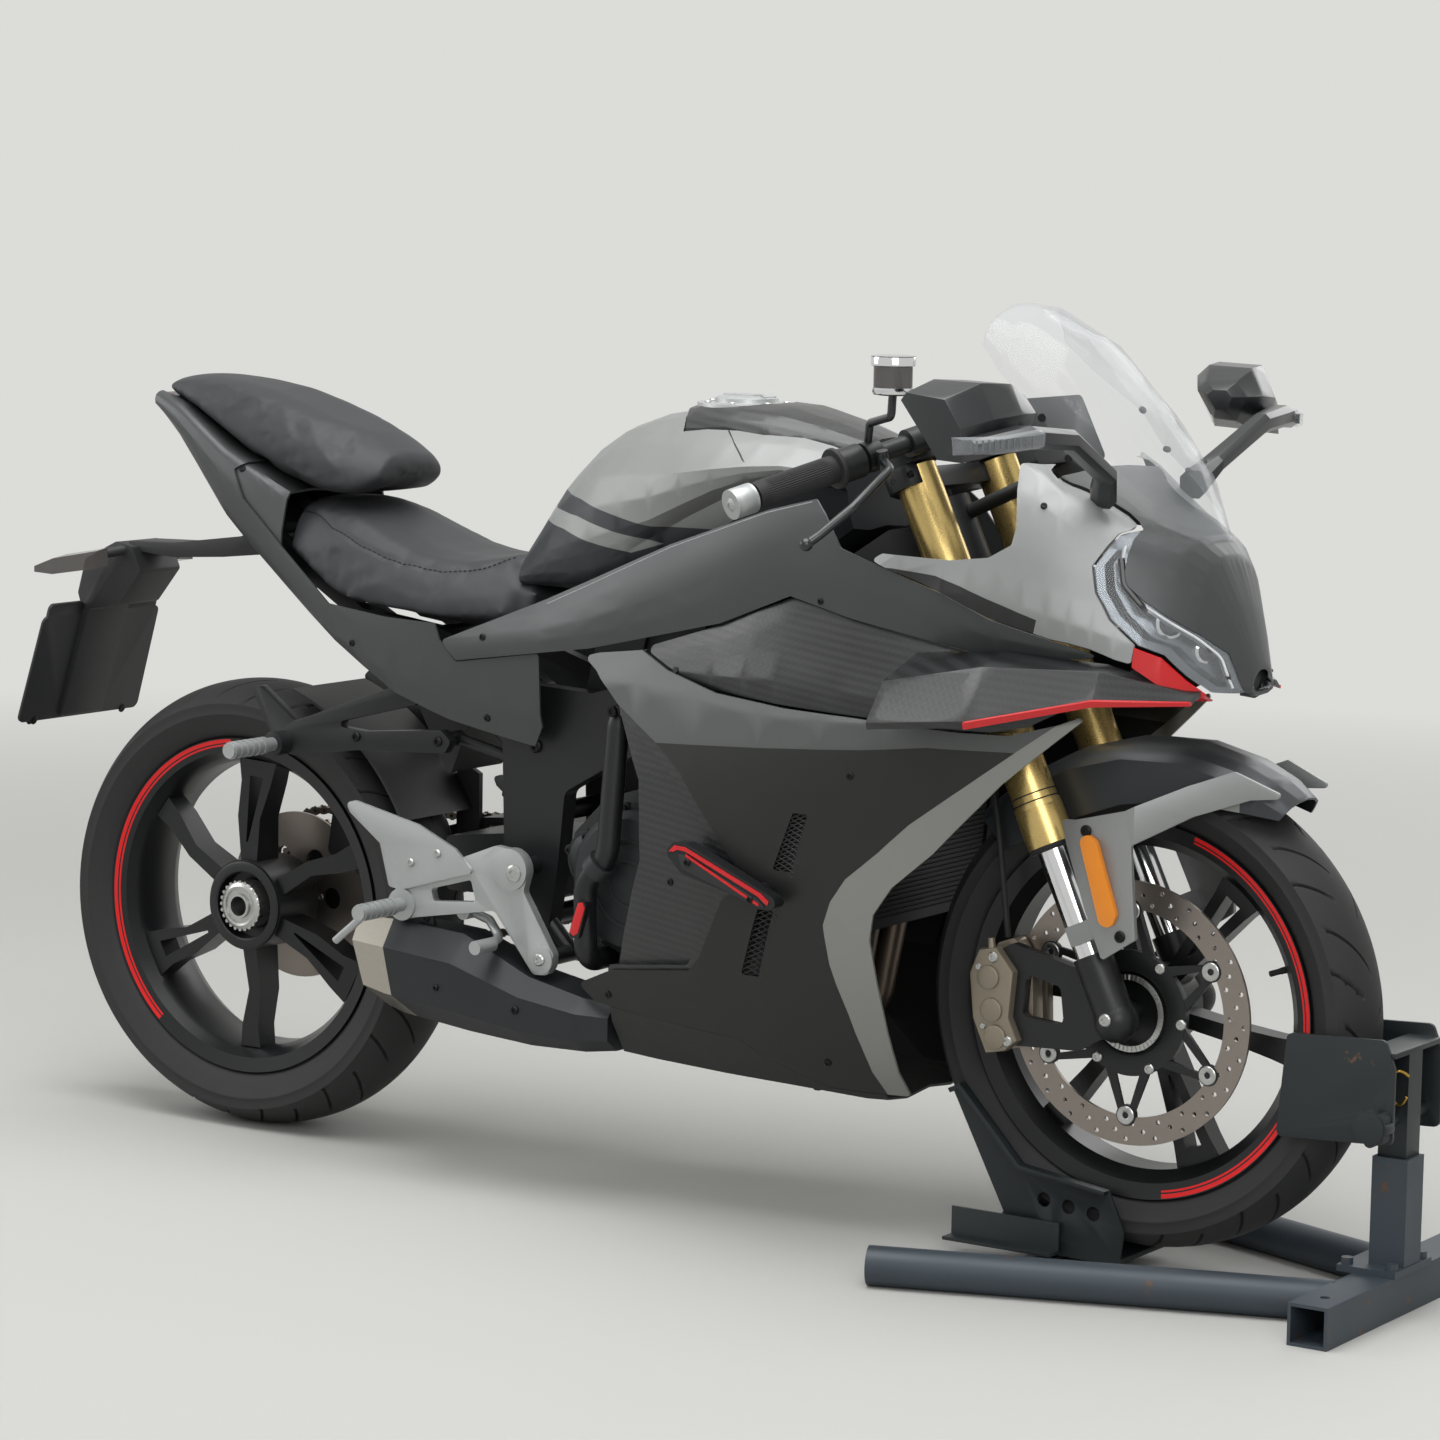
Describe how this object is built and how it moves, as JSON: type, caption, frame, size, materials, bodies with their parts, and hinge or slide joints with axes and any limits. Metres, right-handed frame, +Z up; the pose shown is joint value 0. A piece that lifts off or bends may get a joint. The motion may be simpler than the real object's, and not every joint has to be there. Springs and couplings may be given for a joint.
{
  "type": "motorcycle",
  "caption": "Full-faired sport motorcycle held upright by its front tyre in a wheel chock, with turning wheels, steering and a folding side stand.",
  "frame": {"origin": "centre of the bounding box on the floor plane", "axes": "+X forward along the bike, +Y to the bike's left, +Z up from the floor"},
  "size_m": [2.071, 0.838, 1.16],
  "materials": {
    "tyre": "matt black road rubber",
    "black_rim": "satin black powder coat",
    "disc_steel": "ground steel",
    "spindle": "polished",
    "frame_steel": "satin black",
    "swingarm_black": "satin black",
    "shock": "black with steel spring",
    "engine_black": "dark cast",
    "engine_cover": "satin dark grey",
    "radiator": "black finned core",
    "chain": "oiled steel",
    "pipes": "heat-stained steel",
    "exhaust_black": "heat-proof black",
    "stainless": "brushed stainless",
    "silver_alloy": "satin alloy",
    "gunmetal": "satin dark grey paint",
    "dark_fairing": "satin near-black paint",
    "silver_paint": "satin silver paint",
    "carbon": "lacquered twill weave",
    "red": "gloss red",
    "black_plastic": "matt moulded",
    "gold": "gold anodised",
    "chrome_tube": "hard chrome",
    "black_alloy": "satin black",
    "grip_rubber": "ribbed rubber",
    "seat_cloth": "grained seat covering",
    "screen": "clear moulded screen",
    "lens": "clear lens over reflector",
    "lamp_chrome": "bright lamp reflector",
    "mirror_shell": "gloss shell",
    "amber": "amber reflector",
    "caliper_bronze": "bronze silver",
    "hose": "black hose",
    "stand_steel": "worn blue-grey paint",
    "cradle_steel": "worn green-black paint"
  },
  "bodies": {
    "chassis": {"belly_pan": "dark_fairing", "carbon_panels": "carbon", "chain_loop": "chain", "cowl_sides": "silver_paint", "crash_guards": "black_plastic", "dash_panel": "black_plastic", "engine_block": "engine_black", "engine_covers": "engine_cover", "foot_controls": "silver_alloy", "fuel_cap": "silver_alloy", "fuel_tank": "silver_paint", "header_pipes": "pipes", "headlamps": "lens", "indicator_lamps": "lens", "lamp_bowls": "lamp_chrome", "main_frame": "frame_steel", "mirrors": "mirror_shell", "muffler": "exhaust_black", "muffler_cap": "stainless", "nose_cowl": "dark_fairing", "peg_carriers": "silver_alloy", "pillion_seat": "seat_cloth", "plate_hanger": "black_plastic", "radiator": "radiator", "rear_hugger": "black_plastic", "rear_shock": "shock", "rearsets": "silver_alloy", "red_trim": "red", "rider_seat": "seat_cloth", "side_covers": "gunmetal", "side_fairings": "gunmetal", "swingarm": "swingarm_black", "tail_cowl": "gunmetal", "tank_cover": "carbon", "under_tail": "black_plastic", "windscreen": "screen", "winglets": "carbon"},
    "front_end": {"fork_tubes": "gold", "fork_sliders": "chrome_tube", "fork_feet": "black_alloy", "triple_clamps": "black_plastic", "handlebars": "black_alloy", "grips": "grip_rubber", "bar_metalwork": "silver_alloy", "front_mudguard": "black_plastic", "guard_plates": "silver_paint", "reflectors": "amber", "front_caliper": "caliper_bronze", "brake_hose": "hose", "chock_base": "stand_steel", "chock_head": "stand_steel", "chock_cradle": "cradle_steel"},
    "front_wheel": {"front_tyre": "tyre", "front_rim": "black_rim", "front_disc": "disc_steel"},
    "rear_wheel": {"rear_tyre": "tyre", "rear_rim": "black_rim", "rear_spindle": "spindle", "rear_disc": "disc_steel"},
    "side_stand": {"side_stand": "black_alloy"}
  },
  "joints": [
    {"name": "steering", "type": "hinge", "parent": "chassis", "child": "front_end", "pos_m": [0.65328, 0, 0.30971], "axis": [-0.4226, 0, 0.9063], "range_deg": [-28, 28]},
    {"name": "front_wheel_spin", "type": "hinge", "parent": "front_end", "child": "front_wheel", "pos_m": [0.685, 0, 0.3245], "axis": [0, 1, 0], "continuous": true},
    {"name": "rear_wheel_spin", "type": "hinge", "parent": "chassis", "child": "rear_wheel", "pos_m": [-0.685, 0, 0.306], "axis": [0, 1, 0], "continuous": true},
    {"name": "side_stand_fold", "type": "hinge", "parent": "chassis", "child": "side_stand", "pos_m": [-0.119, 0.128, 0.262], "axis": [-0.0351, -0.915, -0.4019], "range_deg": [0, 91.5]}
  ]
}
